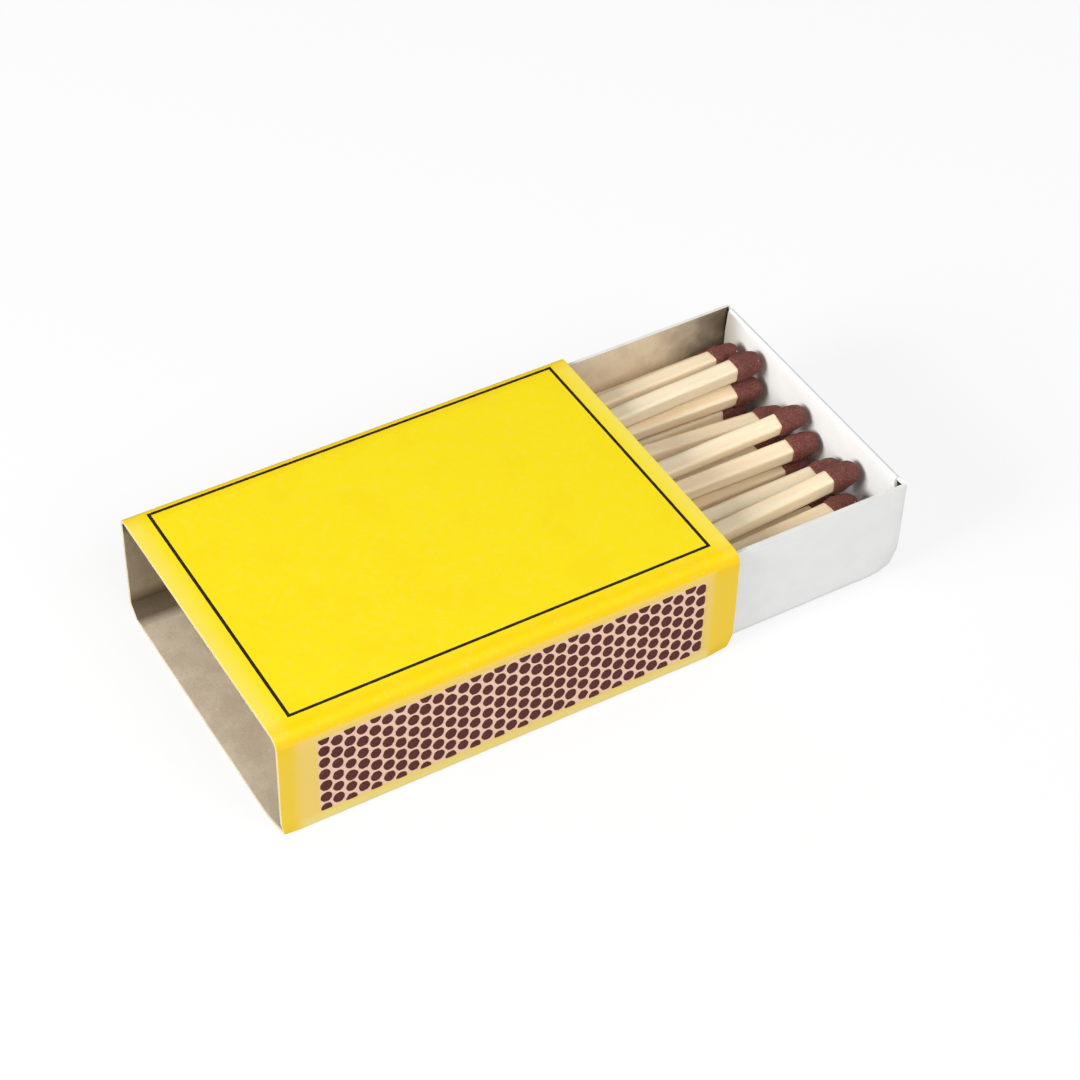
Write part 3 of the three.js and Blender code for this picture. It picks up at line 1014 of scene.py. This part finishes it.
def tray_flap(end, outward):
    """From the end wall's rim: half a turn over the top, then down inside to the floor. A
    flap is a little narrower at its fold, and sits a little to the back, which leaves a
    dark slit at the back corner and a wider one in front."""
    low, high = tray_front + CORNER, tray_back - CORNER
    y = low + SHORT_STEPS * (high - low)
    roll = np.linspace(0, np.pi, 9)
    down = np.linspace(0, 1, 9)[1:]
    foot = tray_floor + 2 * CARD + 0.1
    x = np.concatenate([end - outward * ROLL * (1 - np.cos(roll)),
                        np.full(len(down), end - outward * 2 * ROLL)])
    z = np.concatenate([tray_top - ROLL + ROLL * np.sin(roll),
                        tray_top - ROLL + (foot - tray_top + ROLL) * down])
    depth = tray_top - z
    past = np.concatenate([roll / np.pi, np.ones(len(down))])
    near_fold = smooth(past * 2) * (1 - smooth(depth / 4.0))
    middle = (low + high) / 2
    share = 1 - FLAP_SLIT * near_fold / (middle - low)
    rows = np.empty((len(z), len(y), 3))
    rows[..., 0] = x[:, None]
    rows[..., 1] = middle + (y - middle)[None] * share[:, None]
    rows[..., 1] += (FLAP_SHIFT * near_fold)[:, None]
    rows[..., 2] = z[:, None]
    return rows if outward > 0 else rows[:, ::-1]


print("rows in a flap:", len(tray_flap(tray_right, 1.0)))

# %% Bow, crushed corner and the mesh
TRAY_BOW = 0.12
CORNER_CRUSH = 0.5
CRUSH_REACH = 3.0
CRUSH_UP = 4.0


def tray_bowed(points):
    """The long walls bow inwards a little at their middle and top. The lower corner that
    stands out of the sleeve in front is crushed, by a smooth push inwards and upwards."""
    x, y, z = np.moveaxis(points, -1, 0)
    along = np.sin(np.pi * (x - tray_left) / (tray_right - tray_left))
    up = np.clip((z - tray_floor) / (tray_top - tray_floor), 0, 1) ** 2
    middle = (tray_front + tray_back) / 2
    across = (y - middle) / (tray_back - middle)
    inward = -TRAY_BOW * along * up * across ** 7
    by_end = smooth((x - tray_right + CRUSH_REACH) / CRUSH_REACH)
    near = by_end * smooth((tray_front + CRUSH_REACH - y) / CRUSH_REACH)
    crush = CORNER_CRUSH * near * smooth((tray_floor + CRUSH_UP - z) / CRUSH_UP)
    return points + np.stack([-crush, inward + 0.7 * crush, 0.6 * crush], -1)


tray_grids = [
    tray_bowed(tray_outside()),
    tray_bowed(tray_flap(tray_right, 1.0)),
    tray_bowed(tray_flap(tray_left, -1.0)),
]
tray_mesh = mesh_from_grids("card_tray", tray_grids)
check = bmesh.new()
check.from_mesh(tray_mesh)
bottoms = [face for face in check.faces if face.calc_center_median().z < (tray_floor + 0.05) * MM]
down = sum(face.normal.z for face in bottoms)
open_edges = sum(len(edge.link_faces) == 1 for edge in check.edges)
check.free()
print("the floor's outside faces down:", down < 0, "edges on the rim:", open_edges)

# %% [markdown]
# ## The tray's two sides
#
# The tray is white-lined board: one side is coated white, the other is bare. It is the same
# card as the sleeve's, so the same functions colour it, with painted shade added: the bare
# inside darkens towards the heads and behind the flaps, and the white flap greys at the back corner.

# %% The tray's white and bare card
WHITE = (srgb(247, 248, 246), srgb(252, 252, 251), srgb(238, 240, 239))
TRAY_BOARD = (srgb(240, 223, 194), srgb(244, 234, 212), srgb(206, 184, 152))
# Painted shade: towards the heads' end, behind the flaps, and on the flap by the back corner.
HEAD_END_SHADE_FROM, HEAD_END_SHADE_FULL = 33.0, 46.5
BEHIND_FLAP_FROM, BEHIND_FLAP_FULL = 0.75, 0.55
FLAP_FACE_IN, FLAP_FACE_OUT = 2.0, 0.7
CORNER_SHADE_FROM, CORNER_SHADE_TO = 3.2, 0.42


def tray_board_material():
    """The tray's bare inside: the same board, with painted shade that darkens it brown towards
    the heads' end and lower down, and darkest where the end walls hide behind their flaps."""
    material, make, shader = new_material("tray_board")
    place = place_in_mm(make)
    x, y, z = make.parts(place)
    colour = bare_card(make, place, *TRAY_BOARD, 0.6)
    # Painted shade, in cloudy patches: browner towards the heads' end and lower down.
    cloud = blotch(make, place, 3.0)
    reach = make.math("ADD", x, make.math("MULTIPLY", cloud, 1.2))
    reach = make.math("ADD", reach, make.math("MULTIPLY", z, -0.25))
    head_end_shade = make.ramp(reach, HEAD_END_SHADE_FROM, HEAD_END_SHADE_FULL, 0.0, 0.95)
    colour = make.mix(head_end_shade, colour, srgb(80, 62, 42))
    # Painted shade: the board behind the flaps, which light hardly reaches, is near black.
    flap_shade = make.ramp(x, tray_right - BEHIND_FLAP_FROM, tray_right - BEHIND_FLAP_FULL)
    colour = make.mix(flap_shade, colour, srgb(52, 42, 30))
    finish_card(make, shader, place, colour)
    return material


def white_card_material():
    """The white face of the tray's card. The flap inside the open end has painted shade, grey
    near the back corner."""
    material, make, shader = new_material("white_card")
    place = place_in_mm(make)
    x, y, z = make.parts(place)
    colour = bare_card(make, place, *WHITE, 0.1)
    # Painted shade: the flap inside the open end is greyed near the back corner.
    on_flap = band(
        make, x, tray_right - FLAP_FACE_IN, tray_right - FLAP_FACE_OUT, 0.05, 0.05)
    by_corner = band(make, y, tray_back - CORNER_SHADE_FROM, tray_back - CORNER_SHADE_TO, 2.3, 0.04)
    corner_shade = make.math("MULTIPLY", on_flap, by_corner)
    colour = make.mix(make.math("MULTIPLY", corner_shade, 0.7), colour, srgb(166, 154, 134))
    finish_card(make, shader, place, colour)
    return material


white_card = white_card_material()
tray_board = tray_board_material()
tray = place_piece(
    "card_tray", tray_mesh, [white_card, tray_board, white_cut_edge],
    "tray", "white_card", "tray")
thicken_card(tray, TRAY_CARD)
print("faces in the tray before it is thickened:", len(tray_mesh.polygons))

# %% [markdown]
# ## The matches
#
# A match is a splint, split from a thin sheet of aspen, with its end dipped. Split wood has
# flat faces, slightly crushed corners, and fine grain that runs along it. The fixed model
# has one plain box for each splint and one plain knob for each head. Each new piece reads
# from those where its match lies, and is then worked out in the match's own directions, so
# that the grain follows the wood. The grain's coordinates are kept as an attribute.

# %% Read where a match lies
def corner_points(node):
    """The different corners of a node's mesh, in millimetres."""
    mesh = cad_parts[node].data
    flat = np.empty(len(mesh.vertices) * 3, np.float32)
    mesh.vertices.foreach_get("co", flat)
    return np.unique(flat.reshape(-1, 3).round(7), axis=0).astype(float) / MM


def match_frame(number):
    """The tail's middle and three directions: along the splint to its head, and square to
    its faces. The splint's long direction is the one that its corners spread over most."""
    corners = corner_points(f"match_splint_{number}")
    middle = corners.mean(0)
    along = np.linalg.svd(corners - middle)[2][0]
    along *= np.sign(along[0])
    order = np.argsort(corners @ along)
    tail = corners[order[:4]]
    spokes = tail[1:] - tail[0]
    across = spokes[np.argmin(np.linalg.norm(spokes, axis=1))]
    across -= (across @ along) * along
    across /= np.linalg.norm(across)
    directions = np.stack([along, across, np.cross(along, across)])
    start = tail.mean(0)
    length = (corners[order[-1]] - start) @ along
    head = (corner_points(f"match_head_{number}") - start) @ along
    return start, directions, length, head.min(), head.max()


print("match 24 is long, mm:", round(float(match_frame("24")[2]), 2))

# %% [markdown]
# ## Splints and their grain
#
# A plain box would do for a splint from afar. From close by its edges are soft, its faces
# wander, and no two are alike. The section is a power mean, which goes from a circle to a
# square with one number. The grain runs along the splint only if it is measured along the
# splint, so each point keeps its place in the splint's own directions as an attribute.

# %% The shape of a splint
SPLINT_HALF = 0.965


def splint_local(length, random):
    """Rows run from the tail to the dipped end, and columns go round. The section is a
    square with soft corners: one over the power mean of the cosine and the sine. Each
    face wanders by a few hundredths, and the splint has a slight bow and twist."""
    angle = np.linspace(0, 2 * np.pi, 33)
    soft = random.uniform(9.0, 16.0)
    square = 1 / (np.abs(np.cos(angle)) ** soft + np.abs(np.sin(angle)) ** soft) ** (1 / soft)
    along = np.concatenate([[0, 0, 0.05], np.linspace(0.4, length - 0.05, 44), [length, length]])
    cap = np.ones(len(along))
    cap[[0, -1]] = 0.0
    cap[1] = 0.9
    cap[-2] = 0.95
    share = along / length
    wave = random.uniform(0, 2 * np.pi, (4, 2))
    wander = sum(
        0.008 * np.sin(k * np.pi * share[:, None] * 2.3 + phase[0] + 3 * np.sin(angle + phase[1]))
        for k, phase in enumerate(wave, 1))
    radius = SPLINT_HALF * square[None] * cap[:, None] * (1 + wander)
    twist = random.uniform(-0.02, 0.02) * share
    turned = angle[None] + twist[:, None]
    bow = 0.05 * random.uniform(-1, 1, 2)
    arch = np.sin(np.pi * share)
    local = np.empty((*radius.shape, 3))
    local[..., 0] = along[:, None]
    local[..., 1] = radius * np.cos(turned) + (bow[0] * arch)[:, None]
    local[..., 2] = radius * np.sin(turned) + (bow[1] * arch)[:, None]
    return local


print("points in one splint:", splint_local(40.0, np.random.default_rng(0)).shape[:2])

# %% Node group: wood grain
def grain_group():
    """Wood grain: noise stretched along the splint, once slow for the year rings and once
    fine for the fibres. Rings and Fibre run from 0 to 1."""
    tree, make, given, out = new_group("split_grain", {"Place": None}, ["Rings", "Fibre", "Pore"])
    parts = (("Rings", (0.06, 1.3, 1.3)), ("Fibre", (0.25, 9.0, 9.0)), ("Pore", (0.7, 14.0, 14.0)))
    for label, stretch in parts:
        stretched = make.vector("MULTIPLY", given["Place"], stretch)
        make.feed(out[label], make.noise(stretched, 1.0, detail=2.0, rough=0.55))
    return tree


def wood_material():
    material, make, shader = new_material("split_aspen")
    place = make.mark("wood_place", "Vector")
    grain = use_group(make, grain_group(), {"Place": place})
    tone = make.mark("wood_tone")
    colour = make.mix(make.ramp(grain["Rings"], 0.3, 0.7), srgb(255, 243, 212), srgb(255, 233, 198))
    colour = make.mix(make.ramp(grain["Fibre"], 0.5, 0.8, 0.0, 0.45), colour, srgb(252, 212, 160))
    colour = make.mix(make.ramp(grain["Pore"], 0.62, 0.8, 0.0, 0.5), colour, srgb(236, 176, 118))
    colour = make.mix(make.math("MULTIPLY", tone, 0.3), colour, srgb(254, 222, 172))
    rough = make.ramp(grain["Fibre"], 0.3, 0.7, 0.65, 0.82)
    finish_shader(make, shader, colour, rough, 0.3, grain["Fibre"], 0.04)
    return material


wood = wood_material()
print("nodes in the wood:", len(wood.node_tree.nodes))

# %% [markdown]
# ## Heads
#
# A head is a paste that the end of the splint was dipped in. It hangs as a drop while it
# dries: square where it starts, as the splint is, then round, then a blunt nose. Its
# surface is lumpy, which is made in the mesh, and gritty, which is made by a bump.

# %% The shape of a head
HEAD_HALF = 1.43
HEAD_SIDES = 33


def lumps(points, random, size, count=26):
    """A sum of waves in random directions, about -1 to 1, for lumps of roughly that size."""
    ways = random.standard_normal((count, 3))
    pace = random.uniform(0.6, 1.4, count)
    ways *= (2 * np.pi / size / np.linalg.norm(ways, axis=1) * pace)[:, None]
    phase = random.uniform(0, 2 * np.pi, count)
    return np.sin(points @ ways.T + phase).sum(-1) / math.sqrt(count / 2) / 1.6


def head_local(start, end, random):
    """Rows run from inside the splint, out at the skirt, over the belly and to the nose.
    The section goes from a soft square to a circle."""
    angle = np.linspace(0, 2 * np.pi, HEAD_SIDES)
    length = end - start
    share = np.array([0.05, 0.02, 0.0, 0.015, 0.06, 0.12, 0.2, 0.3, 0.4, 0.5, 0.6, 0.7, 0.78,
                      0.85, 0.9, 0.94, 0.97, 0.99, 1.0])
    size = np.array([0.0, 0.55, 0.8, 0.86, 0.9, 0.93, 0.965, 0.99, 1.0, 1.0, 0.985, 0.94, 0.88,
                     0.78, 0.68, 0.55, 0.4, 0.22, 0.0])
    soft = 2 + 5 * (1 - smooth(share / 0.45))
    cos, sin = np.abs(np.cos(angle))[None], np.abs(np.sin(angle))[None]
    power = soft[:, None]
    section = 1 / (cos ** power + sin ** power) ** (1 / power)
    radius = HEAD_HALF * size[:, None] * np.minimum(section, 1.13)
    local = np.empty((*radius.shape, 3))
    local[..., 0] = start + length * share[:, None]
    local[..., 1] = radius * np.cos(angle)
    local[..., 2] = radius * np.sin(angle)
    bulge = 0.03 * lumps(local, random, 1.6) + 0.014 * lumps(local, random, 0.55)
    outward = local - np.array([start + 0.5 * length, 0, 0])
    outward /= np.linalg.norm(outward, axis=-1)[..., None]
    free = np.where(np.arange(len(share)) > 2, 1.0, 0.0)[:, None] * np.minimum(1, size * 1.6)[:, None]
    return local + outward * (bulge * free)[..., None]


print("points in one head:", head_local(0.0, 4.0, np.random.default_rng(0)).shape[:2])

# %% Gritty paste
def head_material():
    material, make, shader = new_material("dipped_head")
    place = place_in_mm(make)
    grit = make.noise(place, 5.0, detail=4.0, rough=0.65)
    shade = blotch(make, place, 1.1)
    speck = fleck(make, place, 0.22, 0.45)
    colour = make.mix(make.ramp(grit, 0.35, 0.7), srgb(90, 48, 38), srgb(130, 78, 68))
    colour = make.mix(make.ramp(shade, -1.0, 1.0, 0.0, 0.35), colour, srgb(112, 58, 58))
    colour = make.mix(make.math("MULTIPLY", speck, 0.5), colour, srgb(158, 106, 94))
    finish_shader(make, shader, colour, make.ramp(grit, 0.3, 0.7, 0.88, 0.66), 0.3, grit, 0.08)
    return material


dipped = head_material()
print("nodes in the paste:", len(dipped.node_tree.nodes))

# %% Make every match
def to_frame(local, start, directions):
    """From a match's own coordinates to the box's: the tail's place plus each direction
    times its coordinate."""
    return start + local @ directions


numbers = [name[-2:] for name in sorted(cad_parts) if name.startswith("match_splint_")]
for number in numbers:
    random = np.random.default_rng(100 + int(number))
    start, directions, length, head_start, head_end = match_frame(number)
    splint = splint_local(length, random)
    marks = {
        "wood_place": splint.reshape(-1, 3) + random.uniform(0, 90, 3),
        "wood_tone": np.full(splint.shape[0] * splint.shape[1], random.uniform(0, 1)),
    }
    head = head_local(head_start, head_end, random)
    for kind, local, given, material, slot in (
            ("splint", splint, marks, wood, "match_wood"),
            ("head", head, None, dipped, "match_head")):
        name = f"{kind}_{number}"
        mesh = mesh_from_grids(name, [to_frame(local, start, directions)], given, True)
        place_piece(name, mesh, [material], "tray", slot, f"match_{name}")
print("matches:", len(numbers), "a splint's length, mm:", round(float(length), 2))
